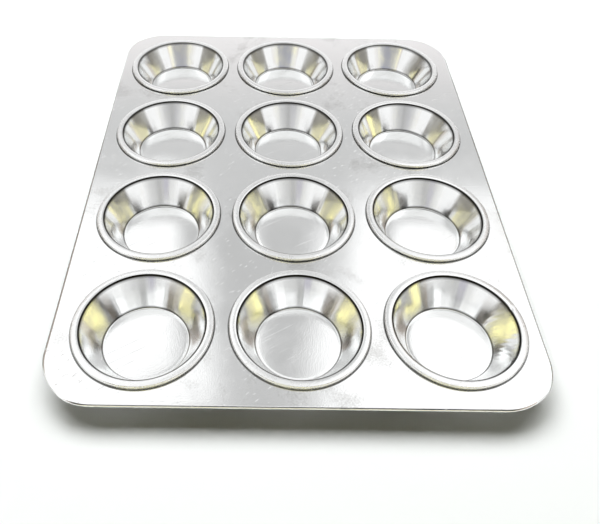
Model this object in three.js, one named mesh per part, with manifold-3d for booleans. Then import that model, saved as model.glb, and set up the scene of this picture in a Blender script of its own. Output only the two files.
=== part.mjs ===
// Twelve-cup muffin pan of bare aluminium, in millimetres, +Z up.
// The pan stands on the foot rings of its cups at z = 0, centred on the origin.
// X runs across the columns of cups and Y along the rows, from the front to the back.
// Each cup is drawn from its own blank. Its rim is curled over a collar turned up round a hole
// in the tray sheet, so sheet and cup hold each other in a lock seam that shows as a raised ring.
import * as THREE from "three";
import { mergeVertices } from "three/addons/utils/BufferGeometryUtils.js";
import Module from "manifold-3d";

// Layout of the cups
const COLUMN_NAMES = ["left", "centre", "right"];
const ROW_NAMES = ["front", "middle_front", "middle_back", "back"];
const COLUMN_GAP = 7.2; // between the rings of two cups in one row
const ROW_GAP = 6.7; // between the rings of two cups in one column

// Cup, from the middle of its floor outwards
const CUP_GAUGE = 0.5; // thickness of the cup's metal
const FLOOR_RADIUS = 25.1; // inside corner of floor and wall
const CHANNEL_WIDTH = 2.3; // sunken band round the floor, which is the foot ring underneath
const PANEL_STEP = 0.6; // width of the slope between that band and the middle panel
const PANEL_RISE = 0.5; // height of the middle panel above the band
const WALL_SPREAD = 8.6; // how much wider the wall is at its top than at the floor
const NECK_STEP = 0.5; // how far the neck stands out past the top of the wall
const NECK_HEIGHT = 1.9;
const SHOULDER_WIDTH = 2.1; // slope from the mouth up to the flat of the ring
const SHOULDER_DROP = 1.5;
const LAND_WIDTH = 3.05; // flat top of the ring
const CUP_DEPTH = 19; // from the top of the ring down to the band round the floor

// Tray sheet
const SHEET_GAUGE = 0.5; // thickness of the sheet's metal
const SIDE_MARGIN = 9.3; // from a cup's ring to the long edge of the sheet
const END_MARGIN = 10; // from a cup's ring to the short edge of the sheet
const CORNER_RADIUS = 31;
const HEM_WIDTH = 6; // edge of the sheet folded flat underneath

const SEAM_CLEARANCE = 0.3; // between two layers of metal in a seam or a hem
const CUT_OVERRUN = 1; // how far a cut runs past the face that it opens

// Steps round a full circle, round a corner of the sheet and round the curl of a rim
const CIRCLE_STEPS = 24;
const CORNER_STEPS = 8;
const CURL_STEPS = 3;

// Radii of the cup and its seam, each one built on the one before
const panelRadius = FLOOR_RADIUS - CHANNEL_WIDTH - PANEL_STEP;
const wallTopRadius = FLOOR_RADIUS + WALL_SPREAD;
const mouthRadius = wallTopRadius + NECK_STEP;
const landRadius = mouthRadius + SHOULDER_WIDTH;
const curlRadius = (2 * CUP_GAUGE + SHEET_GAUGE + 2 * SEAM_CLEARANCE) / 2;
const curlCentreRadius = landRadius + LAND_WIDTH;
const ringRadius = curlCentreRadius + curlRadius;
const collarRadius = landRadius + SEAM_CLEARANCE;
const collarFlangeRadius = curlCentreRadius - SEAM_CLEARANCE;
const curlEndRadius = collarRadius + SHEET_GAUGE + SEAM_CLEARANCE;

// Heights above the surface that the pan stands on
const floorZ = CUP_GAUGE;
const ringTopZ = floorZ + CUP_DEPTH;
const curlBottomZ = ringTopZ - 2 * curlRadius;
const sheetTopZ = curlBottomZ - SEAM_CLEARANCE;
const sheetBottomZ = sheetTopZ - SHEET_GAUGE;
const sheetMiddleZ = sheetTopZ - SHEET_GAUGE / 2;
const collarTopZ = ringTopZ - CUP_GAUGE - SEAM_CLEARANCE;
const hemBottomZ = sheetBottomZ - SEAM_CLEARANCE - SHEET_GAUGE;

// Places of the cups and the size of the sheet that holds them
const columnPitch = 2 * ringRadius + COLUMN_GAP;
const rowPitch = 2 * ringRadius + ROW_GAP;
const halfWidth = ((COLUMN_NAMES.length - 1) * columnPitch) / 2 + ringRadius + SIDE_MARGIN;
const halfLength = ((ROW_NAMES.length - 1) * rowPitch) / 2 + ringRadius + END_MARGIN;

const cupPlaces = ROW_NAMES.flatMap((rowName, row) =>
  COLUMN_NAMES.map((columnName, column) => ({
    name: `cup_${rowName}_${columnName}`,
    x: (column - (COLUMN_NAMES.length - 1) / 2) * columnPitch,
    y: (row - (ROW_NAMES.length - 1) / 2) * rowPitch,
  })),
);

const sheetMetal = new THREE.MeshStandardMaterial({
  name: "tray_aluminium",
  color: 0xd6d7d8,
  metalness: 1,
  roughness: 0.32,
});
const cupMetal = new THREE.MeshStandardMaterial({
  name: "cup_aluminium",
  color: 0xdddedf,
  metalness: 1,
  roughness: 0.18,
});

const wasm = await Module();
wasm.setup();

// A closed geometry as a solid that can be joined and cut
function toSolid(geometry) {
  const bare = geometry.clone();
  bare.deleteAttribute("normal");
  bare.deleteAttribute("uv");
  const merged = mergeVertices(bare);
  return new wasm.Manifold(
    new wasm.Mesh({
      numProp: 3,
      vertProperties: merged.getAttribute("position").array,
      triVerts: new Uint32Array(merged.index.array),
    }),
  );
}

// A finished solid as a geometry with flat-shaded faces
function toGeometry(solid) {
  const mesh = solid.getMesh();
  const geometry = new THREE.BufferGeometry();
  geometry.setAttribute("position", new THREE.BufferAttribute(mesh.vertProperties, 3));
  geometry.setIndex(new THREE.BufferAttribute(mesh.triVerts, 1));
  const faces = geometry.toNonIndexed();
  faces.computeVertexNormals();
  return faces;
}

// The other face of a bent strip: each point moved off the path by the metal's thickness
function offsetPath(path, thickness) {
  const normals = path.slice(1).map((point, i) => {
    const along = point.clone().sub(path[i]).normalize();
    return new THREE.Vector2(along.y, -along.x);
  });
  return path.map((point, i) => {
    const before = normals[Math.max(i - 1, 0)];
    const after = normals[Math.min(i, normals.length - 1)];
    const middle = before.clone().add(after).normalize();
    return point.clone().addScaledVector(middle, thickness / middle.dot(before));
  });
}

// A profile of radius and height turned round the Z axis
function turned(profile) {
  return new THREE.LatheGeometry(profile, CIRCLE_STEPS).rotateX(Math.PI / 2);
}

// Upper face of a cup's metal, from the middle of the floor over the ring to the end of the curl
function cupPath() {
  const path = [
    new THREE.Vector2(0, floorZ + PANEL_RISE),
    new THREE.Vector2(panelRadius, floorZ + PANEL_RISE),
    new THREE.Vector2(panelRadius + PANEL_STEP, floorZ),
    new THREE.Vector2(FLOOR_RADIUS, floorZ),
    new THREE.Vector2(wallTopRadius, ringTopZ - SHOULDER_DROP - NECK_HEIGHT),
    new THREE.Vector2(mouthRadius, ringTopZ - SHOULDER_DROP),
    new THREE.Vector2(landRadius, ringTopZ),
  ];
  for (let step = 0; step <= CURL_STEPS; step += 1) {
    const angle = (Math.PI * step) / CURL_STEPS;
    const radius = curlCentreRadius + curlRadius * Math.sin(angle);
    path.push(new THREE.Vector2(radius, ringTopZ - curlRadius + curlRadius * Math.cos(angle)));
  }
  path.push(new THREE.Vector2(curlEndRadius, curlBottomZ));
  return path;
}

function cupGeometry() {
  const upper = cupPath();
  const lower = offsetPath(upper, CUP_GAUGE);
  return turned([...lower, ...upper.reverse()]);
}

// Outline of the sheet, drawn in from its edge by a distance
function sheetOutline(inset) {
  const x = halfWidth - CORNER_RADIUS;
  const y = halfLength - CORNER_RADIUS;
  const radius = CORNER_RADIUS - inset;
  const quarter = Math.PI / 2;
  const outline = new THREE.Shape();
  outline.absarc(x, y, radius, 0, quarter);
  outline.absarc(-x, y, radius, quarter, 2 * quarter);
  outline.absarc(-x, -y, radius, 2 * quarter, 3 * quarter);
  outline.absarc(x, -y, radius, 3 * quarter, 4 * quarter);
  return outline;
}

// A slab of an outline's shape, between two heights
function slab(outline, bottom, top) {
  const geometry = new THREE.ExtrudeGeometry(outline, {
    depth: top - bottom,
    bevelEnabled: false,
    curveSegments: CORNER_STEPS,
  });
  return toSolid(geometry.translate(0, 0, bottom));
}

// Blank of a collar: the stub that stands up round a hole, with its edge turned out into a flange
function collarBlank() {
  const flangeBottomZ = collarTopZ - SHEET_GAUGE;
  const outside = collarRadius + SHEET_GAUGE;
  return turned([
    new THREE.Vector2(0, sheetMiddleZ),
    new THREE.Vector2(outside, sheetMiddleZ),
    new THREE.Vector2(outside, flangeBottomZ),
    new THREE.Vector2(collarFlangeRadius, flangeBottomZ),
    new THREE.Vector2(collarFlangeRadius, collarTopZ),
    new THREE.Vector2(0, collarTopZ),
  ]);
}

// Bore through a collar and the sheet below it
function collarBore() {
  const bottom = sheetBottomZ - CUT_OVERRUN;
  const top = collarTopZ + CUT_OVERRUN;
  return turned([
    new THREE.Vector2(0, bottom),
    new THREE.Vector2(collarRadius, bottom),
    new THREE.Vector2(collarRadius, top),
    new THREE.Vector2(0, top),
  ]);
}

// The sheet with its hem: a block as thick as the hem, hollowed so that the edge is a folded strip
function hemmedSheet() {
  const foldGap = slab(sheetOutline(SHEET_GAUGE), hemBottomZ + SHEET_GAUGE, sheetBottomZ);
  const foldGapMiddleZ = sheetBottomZ - SEAM_CLEARANCE / 2;
  const underside = slab(sheetOutline(HEM_WIDTH), hemBottomZ - CUT_OVERRUN, foldGapMiddleZ);
  return slab(sheetOutline(0), hemBottomZ, sheetTopZ).subtract(foldGap).subtract(underside);
}

function sheetGeometry() {
  const blank = collarBlank();
  const bore = collarBore();
  let sheet = hemmedSheet();
  for (const { x, y } of cupPlaces) {
    sheet = sheet.add(toSolid(blank.clone().translate(x, y, 0)));
    sheet = sheet.subtract(toSolid(bore.clone().translate(x, y, 0)));
  }
  return toGeometry(sheet);
}

const pan = new THREE.Group();

const sheet = new THREE.Mesh(sheetGeometry(), sheetMetal);
sheet.name = "tray_sheet";
pan.add(sheet);

const cupShape = cupGeometry();
for (const { name, x, y } of cupPlaces) {
  const cup = new THREE.Mesh(cupShape, cupMetal);
  cup.name = name;
  cup.position.set(x, y, 0);
  pan.add(cup);
}

export default pan;
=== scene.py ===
"""Looks of a bare aluminium muffin pan, laid out as an add-on and run as a script.

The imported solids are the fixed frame. The tray sheet and the cups are modelled again in the same
places as smooth bent metal, with the finish of rolled and drawn aluminium, in a white studio.
"""

import math
import random
from typing import NamedTuple

import bmesh
import bpy
from mathutils import Matrix, Vector, noise


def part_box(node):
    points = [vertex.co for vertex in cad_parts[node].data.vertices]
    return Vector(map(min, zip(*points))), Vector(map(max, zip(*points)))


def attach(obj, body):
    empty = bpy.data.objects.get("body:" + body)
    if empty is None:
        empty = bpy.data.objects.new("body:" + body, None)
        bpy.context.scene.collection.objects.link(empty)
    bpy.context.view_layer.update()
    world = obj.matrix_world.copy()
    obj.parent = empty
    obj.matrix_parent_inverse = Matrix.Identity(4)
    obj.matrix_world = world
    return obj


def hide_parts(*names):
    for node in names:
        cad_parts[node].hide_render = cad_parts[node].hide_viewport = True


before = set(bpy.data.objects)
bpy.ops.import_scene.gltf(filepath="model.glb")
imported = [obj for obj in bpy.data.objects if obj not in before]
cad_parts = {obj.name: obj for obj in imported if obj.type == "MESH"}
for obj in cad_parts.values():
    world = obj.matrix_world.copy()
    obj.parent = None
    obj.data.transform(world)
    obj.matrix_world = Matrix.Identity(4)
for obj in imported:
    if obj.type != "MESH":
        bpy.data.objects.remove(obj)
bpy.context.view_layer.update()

bl_info = {
    "name": "Aluminium Muffin Pan",
    "version": (1, 0, 0),
    "blender": (4, 5, 0),
    "location": "3D View > Sidebar > Muffin Pan",
    "description": "Dresses the solids of a muffin pan as seamed sheet aluminium in a white studio",
    "category": "Object",
}

MM = 0.001
BODY = "root"
SHEET_NODE = "tray_sheet"
COLUMNS = ("left", "centre", "right")
ROWS = ("front", "middle_front", "middle_back", "back")
IMAGE_SIZE = (600, 524)
IMAGE_LONG_SIDE = max(IMAGE_SIZE)


def millimetres(*sizes):
    return [size * MM for size in sizes]


def cup_node(row, column):
    return f"cup_{ROWS[row]}_{COLUMNS[column]}"


def cup_centre(row, column):
    low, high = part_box(cup_node(row, column))
    return Vector(((low.x + high.x) / 2, (low.y + high.y) / 2, 0))


CUP_PLACES = [(row, column) for row in range(len(ROWS)) for column in range(len(COLUMNS))]
CUP_CENTRES = {place: cup_centre(*place) for place in CUP_PLACES}
SHEET_LOW, SHEET_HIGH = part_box(SHEET_NODE)
RING_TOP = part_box(cup_node(0, 0))[1].z


def length_property(name, description, size):
    return bpy.props.FloatProperty(
        name=name,
        description=description,
        default=size * MM,
        subtype="DISTANCE",
        unit="LENGTH",
        precision=5,
    )


def angle_property(name, description, degrees):
    return bpy.props.FloatProperty(
        name=name, description=description, default=math.radians(degrees), subtype="ANGLE"
    )


def linear(hex_colour):
    """An sRGB hex colour as the linear colour that a shader takes."""
    channels = [int(hex_colour[i : i + 2], 16) / 255 for i in (1, 3, 5)]
    curve = [c / 12.92 if c <= 0.04045 else ((c + 0.055) / 1.055) ** 2.4 for c in channels]
    return (*curve, 1.0)


def colour_property(name, description, hex_colour):
    return bpy.props.FloatVectorProperty(
        name=name,
        description=description,
        default=linear(hex_colour),
        size=4,
        min=0,
        max=1,
        subtype="COLOR",
    )


def dullness_property(name, description, roughness):
    return bpy.props.FloatProperty(
        name=name, description=description, default=roughness, min=0.05, max=1, subtype="FACTOR"
    )


class PanCupSizes(bpy.types.PropertyGroup):
    """Sizes of one drawn cup, from the middle of its floor out to the curl of its rim."""

    gauge: length_property("Gauge", "Thickness of the cup's metal", 0.5)
    floor_radius: length_property("Floor radius", "Inside corner of floor and wall", 24.8)
    floor_bend: length_property("Floor bend", "Bend radius between floor and wall", 0.5)
    channel_width: length_property("Channel width", "Sunken band round the floor", 0.55)
    panel_step: length_property("Panel step", "Width of the slope up to the middle panel", 1.1)
    panel_rise: length_property("Panel rise", "Height of the middle panel over the band", 0.2)
    panel_bend: length_property("Panel bend", "Bend radius at the edge of the panel", 1.0)
    panel_dome: length_property("Panel dome", "How far the middle panel bulges up", 0.6)
    wall_spread: length_property("Wall spread", "How much wider the wall is at its top", 10.08)
    neck_step: length_property("Neck step", "How far the neck stands out past the wall", 0.2)
    neck_height: length_property("Neck height", "Height of the upright neck", 0.5)
    neck_bend: length_property("Neck bend", "Bend radius where the wall meets the neck", 0.4)
    shoulder_width: length_property("Shoulder width", "Slope from the mouth to the ring", 0.82)
    shoulder_drop: length_property("Shoulder drop", "Height of that slope", 0.65)
    mouth_bend: length_property("Mouth bend", "Bend radius between neck and shoulder", 0.8)
    shoulder_bend: length_property("Shoulder bend", "Bend radius at the inside of the ring", 1.3)
    land_width: length_property("Land width", "Top of the ring", 2.9)
    crown_bend: length_property("Crown bend", "Bend radius across the top of the ring", 5)
    crown_drop: length_property("Crown drop", "How much lower the ring is at its edges", 0.15)
    seam_clearance: length_property("Seam clearance", "Gap between two layers of a seam", 0.3)
    wall_ripple: length_property("Wall ripple", "Height of the ripples drawn into the wall", 0.035)
    wrinkle: length_property("Wrinkle", "Height of the wrinkles in the damaged cup", 0.1)


class PanSheetSizes(bpy.types.PropertyGroup):
    """Sizes of the tray sheet that the cups are seamed into."""

    gauge: length_property("Gauge", "Thickness of the sheet's metal", 0.5)
    corner_radius: length_property("Corner radius", "Rounding of the sheet's corners", 31)
    hem_width: length_property("Hem width", "Edge of the sheet folded underneath", 6)
    lip_width: length_property("Lip width", "Slope down to the fold of the hem", 0.85)
    lip_drop: length_property("Lip drop", "Height of that slope", 0.34)
    collar_bend: length_property("Collar bend", "Bend radius where a collar turns up", 0.3)
    waviness: length_property("Waviness", "How far the sheet is from flat", 0.15)
    edge_skew: angle_property("Edge skew", "Turn of the sheet's edge against the cups", -0.75)


class PanFinish(bpy.types.PropertyGroup):
    """Colours and dullness of the bare metal."""

    metal: colour_property("Metal", "Bare aluminium", "#F8F9F9")
    # The residue colour is painted shade: near-black, laid into the creases of the cups and the
    # sheet
    crease_shade: colour_property("Residue", "Baked residue in the creases", "#1F1D19")
    film: colour_property("Film", "Grey film where the metal was washed and rubbed", "#D9D9D8")
    sheet_dullness: dullness_property("Sheet dullness", "Roughness of the rolled sheet", 0.125)
    cup_dullness: dullness_property("Cup dullness", "Roughness of the drawn cups", 0.12)
    ring_dullness: dullness_property("Ring dullness", "What the rings add to that", 0.15)


class PanStageSettings(bpy.types.PropertyGroup):
    """Camera, floor and light of the studio."""

    paper: colour_property("Paper", "Floor that the pan stands on", "#F6F6F5")
    lamp: colour_property("Lamp", "Light of the lamps", "#FAFDFF")
    fill: colour_property("Fill", "Dim light from all round", "#FFFCB8")
    camera_place: bpy.props.FloatVectorProperty(
        name="Camera place",
        description="Where the camera stands",
        default=(-0.0271, -0.34272, 0.32096),
        subtype="TRANSLATION",
        unit="LENGTH",
    )
    pitch: angle_property("Pitch", "How far the camera looks down", 45.85)
    yaw: angle_property("Yaw", "How far the camera looks to the right", 1.49)
    roll: angle_property("Roll", "How far the camera leans", 1.42)
    focal_pixels: bpy.props.FloatProperty(
        name="Focal length in pixels",
        description="Distance from the lens to an image whose long side is 600 pixels",
        default=649.5,
        subtype="PIXEL",
    )
    axis_pixel: bpy.props.FloatVectorProperty(
        name="Axis pixel",
        description="Where the lens's axis meets the image, from its top left corner",
        default=(264.0, 220.0),
        size=2,
    )


def add_node(tree, kind, inputs=None, **settings):
    """Adds one node. An input is a value, or a socket or a node's first output to link."""
    node = tree.nodes.new(kind)
    for name, value in settings.items():
        setattr(node, name, value)
    for name, value in (inputs or {}).items():
        if isinstance(value, bpy.types.Node):
            value = value.outputs[0]
        if isinstance(value, bpy.types.NodeSocket):
            tree.links.new(value, node.inputs[name])
        else:
            node.inputs[name].default_value = value
    return node


def new_material(name):
    material = bpy.data.materials.new(name)
    material.use_nodes = True
    material.node_tree.nodes.clear()
    return material


def finish_piece(mesh, name, node, material, gauge):
    """A modelled skin as a piece of sheet metal that stands for its CAD node."""
    data = bpy.data.meshes.new(name)
    mesh.to_mesh(data)
    mesh.free()
    data.polygons.foreach_set("use_smooth", [True] * len(data.polygons))
    data.materials.append(material)
    piece = bpy.data.objects.new(name, data)
    bpy.context.scene.collection.objects.link(piece)
    thickness = piece.modifiers.new("metal", "SOLIDIFY")
    thickness.thickness = gauge
    thickness.offset = -1
    thickness.use_even_offset = True
    thickness.use_quality_normals = True
    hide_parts(node)
    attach(piece, BODY)


WELD = 0.002 * MM  # points nearer than this are one


def bent_path(corners, longest_run, bend_step):
    """Section of a bent strip: straight runs, with an arc at each corner.

    A corner is (radius from the axis, height, bend radius). Long runs get points in between.
    """
    points = [Vector(corners[0][:2])]

    def run_to(end):
        start = points[-1].copy()
        steps = max(1, math.ceil((end - start).length / longest_run))
        points.extend(start.lerp(end, step / steps) for step in range(1, steps + 1))

    for before, corner, after in zip(corners, corners[1:], corners[2:]):
        here = Vector(corner[:2])
        bend = corner[2]
        back = (Vector(before[:2]) - here).normalized()
        onward = (Vector(after[:2]) - here).normalized()
        half = back.angle(onward) / 2
        centre = here + (back + onward).normalized() * bend / math.sin(half)
        reach = bend / math.tan(half)
        run_to(here + back * reach)
        first = points[-1] - centre
        last = here + onward * reach - centre
        start = math.atan2(first.y, first.x)
        turn = (math.atan2(last.y, last.x) - start + math.pi) % math.tau - math.pi
        steps = max(2, math.ceil(abs(turn) / bend_step))
        for step in range(1, steps + 1):
            angle = start + turn * step / steps
            points.append(centre + bend * Vector((math.cos(angle), math.sin(angle))))
    run_to(Vector(corners[-1][:2]))
    return points


PATH_LENGTH = "path_length"


def spun(path, steps):
    """A section of radius and height turned round the Z axis. Its points note the length so far."""
    mesh = bmesh.new()
    length = mesh.verts.layers.float.new(PATH_LENGTH)
    verts = []
    for point in path:
        vert = mesh.verts.new((point.x, 0, point.y))
        if verts:
            vert[length] = verts[-1][length] + (vert.co - verts[-1].co).length
        verts.append(vert)
    edges = [mesh.edges.new(pair) for pair in zip(verts, verts[1:])]
    bmesh.ops.spin(
        mesh,
        geom=verts + edges,
        cent=(0, 0, 0),
        axis=(0, 0, 1),
        dvec=(0, 0, 0),
        angle=math.tau,
        steps=steps,
        use_merge=True,
    )
    bmesh.ops.remove_doubles(mesh, verts=mesh.verts, dist=WELD)
    return mesh


def face_upwards(mesh):
    """Makes the normals agree, with most of the skin looking up."""
    bmesh.ops.recalc_face_normals(mesh, faces=mesh.faces)
    if sum(face.calc_area() * face.normal.z for face in mesh.faces) < 0:
        bmesh.ops.reverse_faces(mesh, faces=mesh.faces)


CUP_STEPS = 240  # round a cup
CUP_RUN = 1.6 * MM  # longest run between two points of its section
CUP_BEND_STEP = math.radians(10)
CURL_TOP_BEND = 0.8  # bends of the curl, as shares of its radius
CURL_FOOT_BEND = 0.9


def curl_radius(cup, sheet):
    return cup.gauge + sheet.gauge / 2 + cup.seam_clearance


def panel_radius(cup):
    return cup.floor_radius - cup.channel_width - cup.panel_step


def mouth_radius(cup):
    return cup.floor_radius + cup.wall_spread + cup.neck_step


def land_radius(cup):
    return mouth_radius(cup) + cup.shoulder_width


def ring_radius(cup, sheet):
    return land_radius(cup) + cup.land_width + curl_radius(cup, sheet)


def cup_corners(cup, sheet):
    """Upper face of a cup's metal, from the middle of the floor to the end of the curl."""
    floor = cup.gauge
    panel = panel_radius(cup)
    wall_top = cup.floor_radius + cup.wall_spread
    land = land_radius(cup)
    curl = curl_radius(cup, sheet)
    outside = ring_radius(cup, sheet)
    curl_end = land + 2 * cup.seam_clearance + sheet.gauge
    crown = land + cup.land_width / 2
    slope = cup.crown_drop / (crown - land)
    crown_rise = cup.crown_bend * (math.hypot(1, slope) - 1)
    return [
        (0, floor + cup.panel_rise, 0),
        (panel, floor + cup.panel_rise, cup.panel_bend),
        (panel + cup.panel_step, floor, cup.panel_bend),
        (cup.floor_radius, floor, cup.floor_bend),
        (wall_top, RING_TOP - cup.shoulder_drop - cup.neck_height, cup.neck_bend),
        (mouth_radius(cup), RING_TOP - cup.shoulder_drop, cup.mouth_bend),
        (land, RING_TOP - cup.crown_drop, cup.shoulder_bend),
        (crown, RING_TOP + crown_rise, cup.crown_bend),
        (outside, RING_TOP + crown_rise - (outside - crown) * slope, CURL_TOP_BEND * curl),
        (outside, RING_TOP - 2 * curl, CURL_FOOT_BEND * curl),
        (curl_end, RING_TOP - 2 * curl, 0),
    ]


DRAW_PLACE = "draw_place"
CREASE = "crease"
DENTED_CUP = (ROWS.index("front"), COLUMNS.index("right"))
CREASE_SHADE_BY_ROW = (1.0, 1.0, 0.98, 0.85)  # how dark the painted shade in the creases is, from the front row to the back row
RIPPLE_COUNTS = range(5, 60, 2)  # how often each wave comes round a cup
RIPPLE_HEIGHTS = (0.4, 1)
RIPPLE_FALL = 0.7  # how much lower the finer waves are
DOME_SHARES = (0.8, 1.3)
PANEL_LEAN = math.radians(0.5)


def ripple_round(draw):
    """Height of the ripples at each step round a cup: a sum of waves, the finer ones lower."""
    waves = [
        (count, draw.uniform(*RIPPLE_HEIGHTS) / count**RIPPLE_FALL, draw.uniform(0, math.tau))
        for count in RIPPLE_COUNTS
    ]
    turns = [math.tau * step / CUP_STEPS for step in range(CUP_STEPS)]
    return [
        sum(high * math.cos(count * turn + start) for count, high, start in waves)
        for turn in turns
    ]


def band(value, low, high, edge):
    """1 between two limits, falling to 0 over an edge outside them."""
    return max(0.0, min(1.0, 1 + (value - low) / edge, 1 + (high - value) / edge))


# The limits and the edge of each band. Lengths run along a cup's section, from its middle. The
# first two bands get painted shade: the dark crease colour at the floor's edge and at the neck.
FLOOR_CREASE_SHADE = millimetres(24.95, 25.1, 0.15)
NECK_CREASE_SHADE = millimetres(45.3, 46.55, 0.2)
RIPPLED_WALL = (0.25, 0.9, 0.25)  # as shares of the wall's spread
WRINKLED_LENGTH = millimetres(33, 42, 5)
WRINKLED_TURN = [math.radians(degrees) for degrees in (-28, 22, 12)]
WRINKLE_PITCH = 3.2 * MM
WRINKLE_SLANT = 0.55
WRINKLE_RADIUS = 30 * MM  # of the wall where the wrinkles are


def wrinkle_at(turn, length):
    """Slanting wrinkles in one part of a wall, from -1 to 1."""
    share = band(turn, *WRINKLED_TURN) * band(length, *WRINKLED_LENGTH)
    along = turn * WRINKLE_RADIUS + WRINKLE_SLANT * length
    return share * math.sin(math.tau * along / WRINKLE_PITCH)


NICK = Vector((34.6, 11.2)) * MM
NICK_WIDTH = 1.1 * MM
NICK_DEPTH = 0.45 * MM


def shape_cup(mesh, cup, place):
    """Gives a turned cup the unevenness of drawn metal, and notes where each point was drawn."""
    draw = random.Random(place[0] * len(COLUMNS) + place[1])
    ripples = ripple_round(draw)
    dome = cup.panel_dome * draw.uniform(*DOME_SHARES)
    lean = Vector((draw.uniform(-1, 1), draw.uniform(-1, 1), 0)) * PANEL_LEAN
    panel = panel_radius(cup)
    mouth = mouth_radius(cup)
    length = mesh.verts.layers.float[PATH_LENGTH]
    drawn = mesh.verts.layers.float_vector.new(DRAW_PLACE)
    crease = mesh.verts.layers.float.new(CREASE)
    for vert in mesh.verts:
        # Painted shade in the creases at the floor's edge and at the neck, a little lighter in the
        # back rows
        corner = band(vert[length], *FLOOR_CREASE_SHADE)
        neck = band(vert[length], *NECK_CREASE_SHADE)
        vert[crease] = max(corner, neck) * CREASE_SHADE_BY_ROW[place[0]]
        out = Vector((vert.co.x, vert.co.y, 0))
        radius = out.length
        turn = math.atan2(out.y, out.x)
        out.normalize()
        vert[drawn] = (out.x * mouth, out.y * mouth, vert[length])
        if radius < panel:
            share = 1 - (radius / panel) ** 2
            vert.co.z += share * (dome + lean.dot(vert.co))
        climb = (radius - cup.floor_radius) / cup.wall_spread
        ripple = ripples[round(turn / math.tau * CUP_STEPS) % CUP_STEPS]
        push = cup.wall_ripple * band(climb, *RIPPLED_WALL) * ripple
        if place == DENTED_CUP:
            push += cup.wrinkle * wrinkle_at(turn, vert[length])
            apart = (vert.co.to_2d() - NICK).length / NICK_WIDTH
            vert.co.z -= NICK_DEPTH * math.exp(-(apart**2))
        vert.co += out * push


class PAN_OT_cups(bpy.types.Operator):
    """Model the cups as drawn aluminium, each with a curled rim"""

    bl_idname = "pan.cups"
    bl_label = "Cups"

    def execute(self, context):
        cup = context.scene.pan_cup
        sheet = context.scene.pan_sheet
        blank = spun(bent_path(cup_corners(cup, sheet), CUP_RUN, CUP_BEND_STEP), CUP_STEPS)
        face_upwards(blank)
        material = drawn_aluminium(context.scene.pan_finish)
        for place in CUP_PLACES:
            mesh = blank.copy()
            shape_cup(mesh, cup, place)
            bmesh.ops.translate(mesh, verts=mesh.verts, vec=CUP_CENTRES[place])
            node = cup_node(*place)
            finish_piece(mesh, f"drawn_{node}", node, material, cup.gauge)
        blank.free()
        return {"FINISHED"}


CREASE_WIDTH = 0.4 * MM
CREASE_ROOM = 1.8 * MM  # round a ring, where the sheet has points close enough for its crease
COLLAR_RUN = 0.45 * MM
COLLAR_BEND_STEP = math.radians(45)  # both bends are hidden under the ring
SHEET_STEPS = 128
SHEET_CUTS = 5
HEM_STEPS = 8
HEM_GAP = 0.3 * MM
FLAT_STRIP = 0.2 * MM
PARALLEL = 1e-9  # a direction that goes less than this towards a border never meets it


def corner_room(sheet):
    """Half sizes of the rectangle whose corners are the centres of the outline's arcs."""
    return Vector((SHEET_HIGH.x - sheet.corner_radius, SHEET_HIGH.y - sheet.corner_radius))


def outline_point(place, sheet, inset, height):
    """The point of the sheet's outline nearest to a place, drawn in from the edge by an inset."""
    room = corner_room(sheet)
    near = Vector((max(-room.x, min(room.x, place.x)), max(-room.y, min(room.y, place.y))))
    out = (Vector(place[:2]) - near).normalized()
    return (near + out * (sheet.corner_radius - inset)).to_3d() + Vector((0, 0, height))


def ray_to_outline(centre, direction, sheet, inset):
    """How far along a ray from a cup's centre the sheet's rounded outline lies."""
    room = corner_room(sheet)
    reach = min(
        ((SHEET_HIGH[axis] - inset) * math.copysign(1, direction[axis]) - centre[axis])
        / direction[axis]
        for axis in (0, 1)
        if abs(direction[axis]) > PARALLEL
    )
    hit = centre + direction * reach
    if abs(hit.x) <= room.x or abs(hit.y) <= room.y:
        return reach
    arc = Vector((math.copysign(room.x, hit.x), math.copysign(room.y, hit.y), 0))
    toward = (arc - centre).dot(direction)
    off = (arc - centre - direction * toward).length
    return toward + math.sqrt((sheet.corner_radius - inset) ** 2 - off**2)


def cell_limits(row, column):
    """Borders of the sheet's part round a cup: west, south, east, north. None is the edge."""
    centre = CUP_CENTRES[row, column]

    def middle(other, axis):
        return (CUP_CENTRES[other][axis] + centre[axis]) / 2

    west = middle((row, column - 1), 0) if column > 0 else None
    east = middle((row, column + 1), 0) if column < len(COLUMNS) - 1 else None
    south = middle((row - 1, column), 1) if row > 0 else None
    north = middle((row + 1, column), 1) if row < len(ROWS) - 1 else None
    return west, south, east, north


def spoke_direction(step, limits, centre, inset):
    """Direction of one spoke of a cell, with every quarter of the spokes aimed at a corner."""
    west, south, east, north = limits
    x_low = inset - SHEET_HIGH.x if west is None else west
    x_high = SHEET_HIGH.x - inset if east is None else east
    y_low = inset - SHEET_HIGH.y if south is None else south
    y_high = SHEET_HIGH.y - inset if north is None else north
    corners = [(x_high, y_low), (x_high, y_high), (x_low, y_high), (x_low, y_low), (x_high, y_low)]
    turns = [math.atan2(y - centre.y, x - centre.x) for x, y in corners]
    # The spokes start in the middle of the east side
    passed, share = divmod(step / SHEET_STEPS * len(limits) + 0.5, 1)
    side = int(passed) % len(limits)
    start, end = turns[side], turns[side + 1]
    angle = start + ((end - start) % math.tau) * share
    return Vector((math.cos(angle), math.sin(angle), 0))


def border_point(step, limits, centre, sheet, inset):
    """Where one spoke of a cell meets the border of the cell or the edge of the sheet."""
    direction = spoke_direction(step, limits, centre, inset)
    west, south, east, north = limits
    reach = ray_to_outline(centre, direction, sheet, inset)
    for limit, axis, side in ((west, 0, -1), (south, 1, -1), (east, 0, 1), (north, 1, 1)):
        if limit is not None and direction[axis] * side > PARALLEL:
            reach = min(reach, (limit - centre[axis]) / direction[axis])
    return centre + direction * reach


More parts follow.
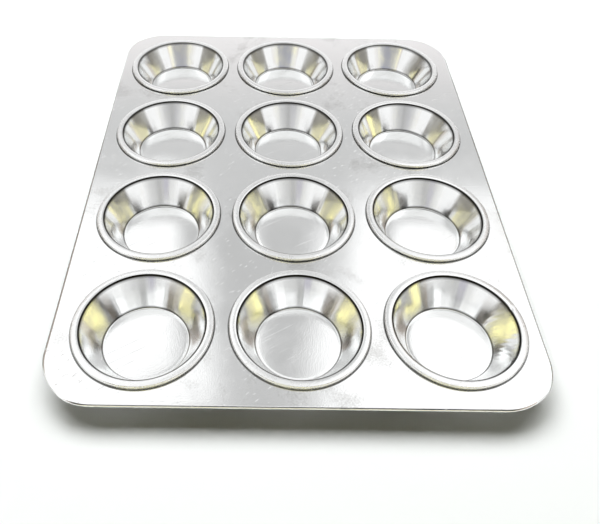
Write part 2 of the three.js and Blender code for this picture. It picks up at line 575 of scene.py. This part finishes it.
def collar_corners(cup, sheet, sheet_top):
    """Face of a collar that runs on from the top of the sheet, from its flange to the flat."""
    land = land_radius(cup)
    outside = land + cup.seam_clearance + sheet.gauge
    flange_end = land + cup.land_width - cup.seam_clearance
    flange = RING_TOP - cup.gauge - cup.seam_clearance - sheet.gauge
    flat = ring_radius(cup, sheet) + CREASE_ROOM
    return [
        (flange_end, flange, 0),
        (outside, flange, sheet.collar_bend),
        (outside, sheet_top, sheet.collar_bend),
        (flat, sheet_top, 0),
    ]


def boundary_loop(mesh, test):
    return [e for e in mesh.edges if e.is_boundary and all(test(v) for v in e.verts)]


def sheet_cell(collar, ring, place, sheet, sheet_top):
    """The part of the sheet round one cup: a collar, and spokes out to the border of the cell."""
    mesh = collar.copy()
    rim_radius = ring + CREASE_ROOM
    centre = CUP_CENTRES[place]
    limits = cell_limits(*place)
    rim = boundary_loop(mesh, lambda vert: abs(vert.co.to_2d().length - rim_radius) < WELD)
    extruded = bmesh.ops.extrude_edge_only(mesh, edges=rim)["geom"]
    outer = {item for item in extruded if isinstance(item, bmesh.types.BMVert)}
    bmesh.ops.translate(mesh, verts=mesh.verts, vec=centre)
    for vert in outer:
        out = vert.co - centre
        step = math.atan2(out.y, out.x) / math.tau * SHEET_STEPS
        vert.co = border_point(round(step), limits, centre, sheet, hem_inset(sheet) + FLAT_STRIP)
        vert.co.z = sheet_top
    spokes = [e for vert in outer for e in vert.link_edges if e.other_vert(vert) not in outer]
    bmesh.ops.subdivide_edges(mesh, edges=spokes, cuts=SHEET_CUTS, use_grid_fill=True)
    # Painted shade: a narrow band of the sheet at the foot of each ring is marked for the dark
    # crease colour
    crease = mesh.verts.layers.float.new(CREASE)
    for vert in mesh.verts:
        gap = (vert.co - centre).to_2d().length - ring
        vert[crease] = band(gap, 0, CREASE_WIDTH, CREASE_WIDTH)
    return mesh


def add_mesh(whole, part):
    """Adds one bmesh to another."""
    data = bpy.data.meshes.new("part")
    part.to_mesh(data)
    part.free()
    whole.from_mesh(data)
    bpy.data.meshes.remove(data)


def hem_height(sheet):
    """Thickness of the folded edge: two layers of metal and the gap between them."""
    return 2 * sheet.gauge + HEM_GAP


def lip_lean(sheet):
    return math.atan2(sheet.lip_drop, sheet.lip_width)


def hem_radius(sheet):
    """Radius of the fold, which takes up the thickness that the lip leaves."""
    return (hem_height(sheet) - sheet.lip_drop) / (1 + math.cos(lip_lean(sheet)))


def hem_inset(sheet):
    """How far inside the edge the sheet's flat top ends and the lip of the hem begins."""
    return sheet.lip_width + hem_radius(sheet) * (1 - math.sin(lip_lean(sheet)))


def add_hem(mesh, sheet, sheet_top):
    """Slopes the edge of the sheet, then folds it down and back under itself."""
    radius = hem_radius(sheet)
    bottom = sheet_top - hem_height(sheet)
    lean = lip_lean(sheet)
    # A narrow flat strip comes first, to keep the lip's slope out of the shading of the sheet
    section = [(hem_inset(sheet), sheet_top)]
    for step in range(HEM_STEPS + 1):
        turn = lean + (math.pi - lean) * step / HEM_STEPS
        section.append((radius * (1 - math.sin(turn)), bottom + radius * (1 + math.cos(turn))))
    section.append((sheet.hem_width, bottom))
    edge = boundary_loop(mesh, lambda vert: abs(vert.co.z - sheet_top) < WELD)
    for inset, height in section:
        extruded = bmesh.ops.extrude_edge_only(mesh, edges=edge)["geom"]
        edge = [item for item in extruded if isinstance(item, bmesh.types.BMEdge)]
        for vert in {vert for item in edge for vert in item.verts}:
            vert.co = outline_point(vert.co, sheet, inset, height)


WAVE_LENGTH = 70 * MM
EDGE_ROOM = 9 * MM  # how far in from the edge its turn fades out


def shape_sheet(mesh, sheet):
    """Turns the sheet's edge a little against the cups, and takes the sheet off dead flat."""
    for vert in mesh.verts:
        inward = min(SHEET_HIGH.x - abs(vert.co.x), SHEET_HIGH.y - abs(vert.co.y))
        share = 1 - min(1, inward / EDGE_ROOM)
        vert.co = Matrix.Rotation(sheet.edge_skew * share, 3, "Z") @ vert.co
        vert.co.z += sheet.waviness * noise.noise(vert.co / WAVE_LENGTH)


class PAN_OT_tray_sheet(bpy.types.Operator):
    """Model the tray sheet with its collars and its hem"""

    bl_idname = "pan.tray_sheet"
    bl_label = "Tray sheet"

    def execute(self, context):
        cup = context.scene.pan_cup
        sheet = context.scene.pan_sheet
        sheet_top = SHEET_LOW.z + hem_height(sheet)
        section = bent_path(collar_corners(cup, sheet, sheet_top), COLLAR_RUN, COLLAR_BEND_STEP)
        collar = spun(section, SHEET_STEPS)
        mesh = bmesh.new()
        for place in CUP_PLACES:
            add_mesh(mesh, sheet_cell(collar, ring_radius(cup, sheet), place, sheet, sheet_top))
        collar.free()
        bmesh.ops.remove_doubles(mesh, verts=mesh.verts, dist=WELD)
        add_hem(mesh, sheet, sheet_top)
        face_upwards(mesh)
        shape_sheet(mesh, sheet)
        material = rolled_aluminium(context.scene.pan_finish)
        name = f"rolled_{SHEET_NODE}"
        finish_piece(mesh, name, SHEET_NODE, material, sheet.gauge)
        return {"FINISHED"}


MIX_A, MIX_B, MIX_RESULT = 6, 7, 2  # colour sockets of a mix node


def finish_metal(tree, finish, metal, relief, settings):
    """Ends the nodes of a metal: its relief, and painted shade over its colour in the creases.

    The relief is layers of (height, depth), each one on top of the one before.
    """
    surface = {}
    for height, depth in relief:
        layer = {"Height": height, "Distance": depth, **surface}
        surface = {"Normal": add_node(tree, "ShaderNodeBump", layer)}
    # Painted shade: the near-black crease colour is mixed over the metal where a crease is marked
    crease = add_node(tree, "ShaderNodeAttribute", attribute_name=CREASE).outputs["Fac"]
    colour = add_node(
        tree,
        "ShaderNodeMix",
        {"Factor": crease, MIX_A: metal, MIX_B: finish.crease_shade},
        data_type="RGBA",
    )
    inputs = {"Base Color": colour.outputs[MIX_RESULT], "Metallic": 1.0, **surface, **settings}
    shader = add_node(tree, "ShaderNodeBsdfPrincipled", inputs)
    add_node(tree, "ShaderNodeOutputMaterial", {"Surface": shader})


# Marks in the metal are cut out of noise. A fade is the two values between which a mark comes in.
SMUDGE_FADE = (0.35, 0.65)
SHEET_SMUDGE = 26 * MM
SHEET_UNEVENNESS = 0.35  # share of the dullness by which smudges change it
SHEET_GRAIN = 0.8 * MM
SHEET_GRAIN_DEPTH = 0.016 * MM
ROLLING_LINE = millimetres(40, 1.2, 1)
ROLLING_LINE_DEPTH = 0.01 * MM
SCUFF = millimetres(0.9, 6, 1)
SCUFF_TURN = math.radians(-50)
SCUFF_FADE = (0.7, 0.78)
SCUFF_DEPTH = 0.05 * MM
FILM_GRAIN = 0.35  # how much the grain breaks up the film's patches
FILM_FADE = (0.76, 0.94)


def rolled_aluminium(finish):
    """Bare rolled aluminium sheet: a bright mirror, dulled by rolling lines, grain and scuffs."""
    material = new_material("rolled_aluminium")
    tree = material.node_tree
    place = add_node(tree, "ShaderNodeTexCoord").outputs["Object"]
    # Rolling lines run across the sheet. Real ones are finer, these are wide enough to show.
    across = add_node(
        tree, "ShaderNodeMapping", {"Vector": place, "Scale": ROLLING_LINE}, vector_type="TEXTURE"
    )
    lines = add_node(tree, "ShaderNodeTexNoise", {"Vector": across, "Scale": 1.0, "Detail": 3.0})
    grain = add_node(
        tree, "ShaderNodeTexNoise", {"Vector": place, "Scale": 1 / SHEET_GRAIN, "Detail": 3.0}
    )
    smudges = add_node(
        tree, "ShaderNodeTexNoise", {"Vector": place, "Scale": 1 / SHEET_SMUDGE, "Detail": 5.0}
    )
    # Scuffs from other pans are short dashes, all in one direction
    aslant = add_node(
        tree,
        "ShaderNodeMapping",
        {"Vector": place, "Rotation": (0, 0, SCUFF_TURN), "Scale": SCUFF},
        vector_type="TEXTURE",
    )
    dashes = add_node(tree, "ShaderNodeTexNoise", {"Vector": aslant, "Scale": 1.0, "Detail": 1.0})
    scuffs = add_node(
        tree,
        "ShaderNodeMapRange",
        {"Value": dashes, "From Min": SCUFF_FADE[0], "From Max": SCUFF_FADE[1]},
    )
    dullness = add_node(
        tree,
        "ShaderNodeMapRange",
        {
            "Value": smudges,
            "From Min": SMUDGE_FADE[0],
            "From Max": SMUDGE_FADE[1],
            "To Min": (1 - SHEET_UNEVENNESS) * finish.sheet_dullness,
            "To Max": (1 + SHEET_UNEVENNESS) * finish.sheet_dullness,
        },
    )
    # The film lies in patches, and shows as specks where they thin out
    patches = add_node(
        tree, "ShaderNodeMath", {0: grain, 1: FILM_GRAIN, 2: smudges}, operation="MULTIPLY_ADD"
    )
    filmed = add_node(
        tree,
        "ShaderNodeMapRange",
        {"Value": patches, "From Min": FILM_FADE[0], "From Max": FILM_FADE[1]},
    )
    metal = add_node(
        tree,
        "ShaderNodeMix",
        {"Factor": filmed, MIX_A: finish.metal, MIX_B: finish.film},
        data_type="RGBA",
    )
    relief = ((grain, SHEET_GRAIN_DEPTH), (lines, ROLLING_LINE_DEPTH), (scuffs, SCUFF_DEPTH))
    finish_metal(tree, finish, metal.outputs[MIX_RESULT], relief, {"Roughness": dullness})
    return material


CUP_SMUDGE = 9 * MM
CUP_UNEVENNESS = 0.3
CUP_GRAIN = 0.7 * MM
CUP_GRAIN_DEPTH = 0.042 * MM
DRAW_LINE = millimetres(0.8, 0.8, 40)
DRAW_LINE_DEPTH = 0.01 * MM
SCRATCH = millimetres(0.45, 45, 30)
SCRATCH_TURN = math.radians(-60)
SCRATCH_FADE = (0.76, 0.84)
SCRATCH_DEPTH = 0.04 * MM
# Lengths along a cup's section between which its wall and its ring begin and the stretching ends
WALL_START = millimetres(25, 28)
RING_START = millimetres(46.9, 47.6)
STRETCH_END = millimetres(44.7, 45.3)
WALL_STRETCH = 0.97
QUARTER_TURN = 0.25  # of a whole turn, as the shader counts


def drawn_aluminium(finish):
    """Bare drawn aluminium: a bright mirror, with draw lines up the wall and a scratched floor."""
    material = new_material("drawn_aluminium")
    tree = material.node_tree
    place = add_node(tree, "ShaderNodeTexCoord").outputs["Object"]
    drawn = add_node(tree, "ShaderNodeAttribute", attribute_name=DRAW_PLACE).outputs["Vector"]
    climb = add_node(tree, "ShaderNodeSeparateXYZ", {"Vector": drawn}).outputs["Z"]
    on_wall = add_node(
        tree,
        "ShaderNodeMapRange",
        {"Value": climb, "From Min": WALL_START[0], "From Max": WALL_START[1]},
    )
    on_ring = add_node(
        tree,
        "ShaderNodeMapRange",
        {"Value": climb, "From Min": RING_START[0], "From Max": RING_START[1]},
    )
    wall_part = add_node(tree, "ShaderNodeMath", {0: on_wall, 1: on_ring}, operation="SUBTRACT")
    flat_part = add_node(tree, "ShaderNodeMath", {0: 1.0, 1: wall_part}, operation="SUBTRACT")
    # Draw lines run up the wall, drawn wide enough to show
    upward = add_node(
        tree, "ShaderNodeMapping", {"Vector": drawn, "Scale": DRAW_LINE}, vector_type="TEXTURE"
    )
    lines = add_node(tree, "ShaderNodeTexNoise", {"Vector": upward, "Scale": 1.0, "Detail": 3.0})
    wall_lines = add_node(tree, "ShaderNodeMath", {0: lines, 1: wall_part}, operation="MULTIPLY")
    grain = add_node(
        tree, "ShaderNodeTexNoise", {"Vector": place, "Scale": 1 / CUP_GRAIN, "Detail": 2.0}
    )
    flat_grain = add_node(tree, "ShaderNodeMath", {0: grain, 1: flat_part}, operation="MULTIPLY")
    # A few long scratches cross the floors
    aslant = add_node(
        tree,
        "ShaderNodeMapping",
        {"Vector": place, "Rotation": (0, 0, SCRATCH_TURN), "Scale": SCRATCH},
        vector_type="TEXTURE",
    )
    strokes = add_node(tree, "ShaderNodeTexNoise", {"Vector": aslant, "Scale": 1.0, "Detail": 0.0})
    scratches = add_node(
        tree,
        "ShaderNodeMapRange",
        {"Value": strokes, "From Min": SCRATCH_FADE[0], "From Max": SCRATCH_FADE[1]},
    )
    floor_marks = add_node(
        tree, "ShaderNodeMath", {0: scratches, 1: flat_part}, operation="MULTIPLY"
    )
    smudges = add_node(
        tree, "ShaderNodeTexNoise", {"Vector": place, "Scale": 1 / CUP_SMUDGE, "Detail": 4.0}
    )
    worn = add_node(
        tree,
        "ShaderNodeMapRange",
        {
            "Value": smudges,
            "From Min": SMUDGE_FADE[0],
            "From Max": SMUDGE_FADE[1],
            "To Min": (1 - CUP_UNEVENNESS) * finish.cup_dullness,
            "To Max": (1 + CUP_UNEVENNESS) * finish.cup_dullness,
        },
    )
    dullness = add_node(
        tree,
        "ShaderNodeMath",
        {0: on_ring, 1: finish.ring_dullness, 2: worn},
        operation="MULTIPLY_ADD",
    )
    # Rings too fine to see, left by spinning, stretch each reflection up and down the wall
    below_neck = add_node(
        tree,
        "ShaderNodeMapRange",
        {
            "Value": climb,
            "From Min": STRETCH_END[0],
            "From Max": STRETCH_END[1],
            "To Min": WALL_STRETCH,
            "To Max": 0.0,
        },
    )
    stretch = add_node(
        tree, "ShaderNodeMath", {0: wall_part, 1: below_neck}, operation="MULTIPLY"
    )
    sideways = add_node(
        tree, "ShaderNodeVectorMath", {0: (0, 0, 1), 1: drawn}, operation="CROSS_PRODUCT"
    )
    relief = (
        (wall_lines, DRAW_LINE_DEPTH),
        (flat_grain, CUP_GRAIN_DEPTH),
        (floor_marks, SCRATCH_DEPTH),
    )
    settings = {
        "Roughness": dullness,
        "Anisotropic": stretch,
        "Anisotropic Rotation": QUARTER_TURN,
        "Tangent": sideways,
    }
    finish_metal(tree, finish, finish.metal, relief, settings)
    return material


FLOOR_HALF = 4.0
FLOOR_DROP = 0.02 * MM
PAPER_ROUGHNESS = 0.9


class Card(NamedTuple):
    """A glowing card that the bare metal mirrors, in metres and degrees.

    Its sides and its ends are soft. Its top colour is all over it unless it has a bottom colour.
    """

    middle: tuple
    width: float
    height: float
    soft: tuple
    top: str
    bottom: str = ""
    strength: float = 1.0
    turn: float = 0
    tilt: float = 90


WINDOW = "#FFFFFF"
WALL_GREY = "#CFCFCF"
WALL_FOOT_GREY = "#C8C8C8"
WALL_FOOT_PALE = "#FFFBFB"
GAP_GREY = "#C4C4C4"
HIGH_GAP_GREY = "#BDBDBD"
SIDE_GREY = "#8E8B84"
EDGE_GREY = "#58585A"
FRONT_GREY = "#A8A8A8"
FRONT_PALE = "#D0D0D0"
LOW_GREY = "#A2A4B2"
LILAC = "#C2C0CA"
BEIGE = "#CDBFAF"
PALE_BEIGE = "#C3B7AC"
YELLOW = "#FFF7AE"
CREAM = "#F8F0B4"
STRAW = "#D8D3C4"
OLIVE = "#A3A19B"
UMBER = "#B5AE9A"
SHADE = "#1E1B16"
BLACK = "#121110"
STUDIO_CARDS = {
    # Behind the pan: what the sheet and the floors of the cups mirror
    "left_window": Card((-1.6, 1.05, 2.2), 3.4, 2.8, (0.1, 0.1), WINDOW, strength=1.15),
    "right_window": Card((1.6, 1.05, 2.2), 3.4, 2.8, (0.1, 0.1), WINDOW, strength=1.15),
    "grey_wall": Card((0, 1.0, 0.83), 3.0, 0.38, (0.1, 0.08), WALL_GREY),
    "pale_wall": Card((0, 1.01, 0.58), 3.0, 0.28, (0.1, 0.05), WALL_FOOT_GREY, WALL_FOOT_PALE),
    "grey_gap": Card((0.045, 1.0, 2.18), 0.5, 2.6, (0.06, 0.1), GAP_GREY),
    "high_gap": Card((-0.12, 0.99, 2.65), 1.0, 0.8, (0.25, 0.12), HIGH_GAP_GREY),
    # At the sides: what the edges of the sheet, the rings and the flanks of the cups mirror
    "left_side": Card((-1.0, 0, 0.22), 0.9, 0.6, (0.15, 0.15), SIDE_GREY, turn=90),
    "right_side": Card((1.0, 0, 0.22), 0.9, 0.6, (0.15, 0.15), SIDE_GREY, turn=90),
    "left_back": Card(
        (-0.99, 0.67, 0.66), 1.02, 1.02, (0.1, 0.1), PALE_BEIGE, EDGE_GREY, turn=56
    ),
    "right_back": Card(
        (0.99, 0.67, 0.66), 1.02, 1.02, (0.1, 0.1), PALE_BEIGE, EDGE_GREY, turn=-56
    ),
    "left_bright": Card((-1.49, 0.2, 2.46), 1.4, 1.8, (0.2, 0.3), WINDOW, strength=1.5, turn=82),
    "right_bright": Card((1.32, 0.7, 2.5), 1.8, 1.7, (0.2, 0.3), WINDOW, strength=1.5, turn=-62),
    # In front: what the far walls mirror, and the flanks over two or three bounces
    "front_grey": Card((0, -2.4, 0.735), 3.8, 1.93, (1.85, 0.06), FRONT_GREY, FRONT_PALE),
    "front_lilac": Card((-0.55, -2.39, 0.5), 0.8, 1.0, (0.3, 0.3), LILAC),
    "front_beige": Card((0, -2.44, 2.65), 4.8, 2.1, (0.3, 0.15), BEIGE),
    "left_beige": Card((-1.99, -1.34, 3.15), 1.2, 2.3, (0.2, 0.2), BEIGE, turn=124),
    "right_beige": Card((2.18, -1.01, 3.15), 1.94, 2.3, (0.2, 0.2), BEIGE, turn=-115),
    "low_yellow": Card((-0.4, -2.38, 2.04), 3.2, 0.62, (0.7, 0.08), YELLOW, strength=1.4),
    "high_yellow": Card((-0.15, -2.38, 3.32), 4.2, 2.16, (0.4, 0.12), CREAM, STRAW),
    "near_yellow": Card((0.02, -0.67, 0.67), 1.2, 0.24, (0.12, 0.04), YELLOW, strength=1.75),
    "near_olive": Card((-0.03, -0.36, 0.37), 0.5, 0.125, (0.06, 0.02), OLIVE),
    "low_grey": Card((0, -2.37, 1.42), 2.2, 0.4, (0.3, 0.08), LOW_GREY),
    "left_dark": Card((-1.61, -1.64, 2.95), 1.2, 1.35, (0.25, 0.1), SHADE, turn=135.5),
    "right_dark": Card((1.99, -1.15, 3.0), 1.1, 1.3, (0.25, 0.15), UMBER, turn=-120),
    # Overhead: what the shoulders inside the rings mirror
    "dark_canopy": Card((-0.05, -0.6, 2.3), 3.3, 0.8, (0.3, 0.08), BLACK, tilt=0),
}


def white_paper(colour):
    """Matt white paper: a plain pale ground that takes the pan's shadow."""
    material = new_material("white_paper")
    tree = material.node_tree
    shader = add_node(
        tree, "ShaderNodeBsdfPrincipled", {"Base Color": colour, "Roughness": PAPER_ROUGHNESS}
    )
    add_node(tree, "ShaderNodeOutputMaterial", {"Surface": shader})
    return material


def link_stage_mesh(mesh, name, material):
    data = bpy.data.meshes.new(name)
    mesh.to_mesh(data)
    mesh.free()
    data.materials.append(material)
    thing = bpy.data.objects.new(name, data)
    bpy.context.scene.collection.objects.link(thing)
    return thing


def add_floor(paper):
    mesh = bmesh.new()
    bmesh.ops.create_grid(mesh, x_segments=1, y_segments=1, size=FLOOR_HALF)
    bmesh.ops.translate(mesh, verts=mesh.verts, vec=(0, 0, -FLOOR_DROP))
    link_stage_mesh(mesh, "studio_floor", white_paper(paper))


def card_glow(name, card):
    """Light of one card, fading out towards its edges."""
    material = new_material(name)
    tree = material.node_tree
    flat = add_node(tree, "ShaderNodeTexCoord").outputs["UV"]
    centred = add_node(
        tree, "ShaderNodeVectorMath", {0: flat, 1: (0.5, 0.5, 0)}, operation="SUBTRACT"
    )
    off = add_node(tree, "ShaderNodeVectorMath", {0: centred}, operation="ABSOLUTE")
    axes = add_node(tree, "ShaderNodeSeparateXYZ", {"Vector": off})
    fades = [
        add_node(
            tree,
            "ShaderNodeMapRange",
            {
                "Value": axes.outputs[axis],
                "From Min": 0.5 - soft / size,
                "From Max": 0.5,
                "To Min": 1.0,
                "To Max": 0.0,
            },
        )
        for axis, soft, size in zip("XY", card.soft, (card.width, card.height))
    ]
    share = add_node(tree, "ShaderNodeMath", {0: fades[0], 1: fades[1]}, operation="MULTIPLY")
    climb = add_node(tree, "ShaderNodeSeparateXYZ", {"Vector": flat}).outputs["Y"]
    colour = add_node(
        tree,
        "ShaderNodeMix",
        {"Factor": climb, MIX_A: linear(card.bottom or card.top), MIX_B: linear(card.top)},
        data_type="RGBA",
    )
    clear = add_node(tree, "ShaderNodeBsdfTransparent")
    glow = add_node(
        tree,
        "ShaderNodeEmission",
        {"Color": colour.outputs[MIX_RESULT], "Strength": card.strength},
    )
    both = add_node(tree, "ShaderNodeMixShader", {0: share, 1: clear, 2: glow})
    add_node(tree, "ShaderNodeOutputMaterial", {"Surface": both})
    return material


def add_cards():
    """Cards out of the picture, seen only as reflections in the metal."""
    for name, card in STUDIO_CARDS.items():
        place = (
            Matrix.Translation(card.middle)
            @ Matrix.Rotation(math.radians(card.turn), 4, "Z")
            @ Matrix.Rotation(math.radians(card.tilt), 4, "X")
            @ Matrix.Diagonal((card.width, card.height, 1, 1))
        )
        mesh = bmesh.new()
        mesh.loops.layers.uv.new("card")
        bmesh.ops.create_grid(
            mesh, x_segments=1, y_segments=1, size=0.5, matrix=place, calc_uvs=True
        )
        thing = link_stage_mesh(mesh, f"{name}_card", card_glow(f"{name}_card", card))
        thing.visible_camera = False
        thing.visible_diffuse = False
        thing.visible_shadow = False


LAMP_SIZE = 1.4
LAMPS = {  # places and watts
    "left_lamp": (Vector((-0.6, 0.7, 1.8)), 35.2),
    "right_lamp": (Vector((0.5, 0.7, 1.8)), 23.5),
}


def add_lamps(colour):
    """Two soft lamps behind the pan, so that its shadow falls to the front."""
    for name, (place, watts) in LAMPS.items():
        lamp = bpy.data.lights.new(name, "AREA")
        lamp.shape = "DISK"
        lamp.size = LAMP_SIZE
        lamp.energy = watts
        lamp.color = colour[:3]
        holder = bpy.data.objects.new(name, lamp)
        turn = place.to_track_quat("Z", "Y").to_matrix().to_4x4()
        holder.matrix_world = Matrix.Translation(place) @ turn
        holder.visible_glossy = False
        holder.visible_camera = False
        bpy.context.scene.collection.objects.link(holder)


FILL_STRENGTH = 0.06


def add_world(fill_colour):
    """White all round, as the eye and the metal see it, with a warm dim fill for the floor."""
    world = bpy.data.worlds.new("white_studio")
    world.use_nodes = True
    tree = world.node_tree
    tree.nodes.clear()
    path = add_node(tree, "ShaderNodeLightPath").outputs
    eye = {0: path["Is Camera Ray"], 1: path["Is Glossy Ray"]}
    seen = add_node(tree, "ShaderNodeMath", eye, operation="MAXIMUM")
    through = {0: seen, 1: path["Is Transmission Ray"]}
    seen = add_node(tree, "ShaderNodeMath", through, operation="MAXIMUM")
    fill = add_node(
        tree, "ShaderNodeBackground", {"Color": fill_colour, "Strength": FILL_STRENGTH}
    )
    white = add_node(tree, "ShaderNodeBackground", {"Color": linear(WINDOW), "Strength": 1.0})
    both = add_node(tree, "ShaderNodeMixShader", {0: seen, 1: fill, 2: white})
    add_node(tree, "ShaderNodeOutputWorld", {"Surface": both})
    bpy.context.scene.world = world


CLIP_START = 10 * MM


def add_camera(stage):
    """Camera at the photograph's place: right, up and back are its own axes."""
    pitch, yaw, roll = stage.pitch, stage.yaw, stage.roll
    ahead = Vector(
        (math.sin(yaw) * math.cos(pitch), math.cos(yaw) * math.cos(pitch), -math.sin(pitch))
    )
    level_right = Vector((math.cos(yaw), -math.sin(yaw), 0))
    level_up = level_right.cross(ahead)
    right = level_right * math.cos(roll) + level_up * math.sin(roll)
    up = level_up * math.cos(roll) - level_right * math.sin(roll)
    lens = bpy.data.cameras.new("photo_camera")
    lens.sensor_fit = "HORIZONTAL"
    lens.lens = stage.focal_pixels / IMAGE_LONG_SIDE * lens.sensor_width
    lens.shift_x = (IMAGE_SIZE[0] / 2 - stage.axis_pixel[0]) / IMAGE_LONG_SIDE
    lens.shift_y = (stage.axis_pixel[1] - IMAGE_SIZE[1] / 2) / IMAGE_LONG_SIDE
    lens.clip_start = CLIP_START
    camera = bpy.data.objects.new("photo_camera", lens)
    turn = Matrix((right, up, -ahead)).transposed().to_4x4()
    camera.matrix_world = Matrix.Translation(stage.camera_place) @ turn
    bpy.context.scene.collection.objects.link(camera)
    bpy.context.scene.camera = camera


class PAN_OT_stage(bpy.types.Operator):
    """Set up the floor, the light and the camera"""

    bl_idname = "pan.stage"
    bl_label = "Studio"

    def execute(self, context):
        stage = context.scene.pan_stage
        context.scene.view_settings.view_transform = "Standard"
        add_floor(stage.paper)
        add_cards()
        add_lamps(stage.lamp)
        add_world(stage.fill)
        add_camera(stage)
        return {"FINISHED"}


class PAN_PT_sidebar(bpy.types.Panel):
    """Sizes and steps of the muffin pan"""

    bl_idname = "PAN_PT_sidebar"
    bl_label = "Muffin Pan"
    bl_space_type = "VIEW_3D"
    bl_region_type = "UI"
    bl_category = "Muffin Pan"

    def draw(self, context):
        for group_name in GROUPS:
            group = getattr(context.scene, group_name)
            box = self.layout.box()
            for name in group.bl_rna.properties.keys():
                if name not in ("rna_type", "name"):
                    box.prop(group, name)
        for step in (PAN_OT_tray_sheet, PAN_OT_cups, PAN_OT_stage):
            self.layout.operator(step.bl_idname)


CLASSES = (
    PanCupSizes,
    PanSheetSizes,
    PanFinish,
    PanStageSettings,
    PAN_OT_tray_sheet,
    PAN_OT_cups,
    PAN_OT_stage,
    PAN_PT_sidebar,
)
GROUPS = {
    "pan_sheet": PanSheetSizes,
    "pan_cup": PanCupSizes,
    "pan_finish": PanFinish,
    "pan_stage": PanStageSettings,
}


def register():
    for item in CLASSES:
        bpy.utils.register_class(item)
    for name, group in GROUPS.items():
        setattr(bpy.types.Scene, name, bpy.props.PointerProperty(type=group))


def unregister():
    for name in GROUPS:
        delattr(bpy.types.Scene, name)
    for item in reversed(CLASSES):
        bpy.utils.unregister_class(item)


def main():
    register()
    bpy.ops.pan.tray_sheet()
    bpy.ops.pan.cups()
    bpy.ops.pan.stage()


if __name__ == "__main__":
    main()
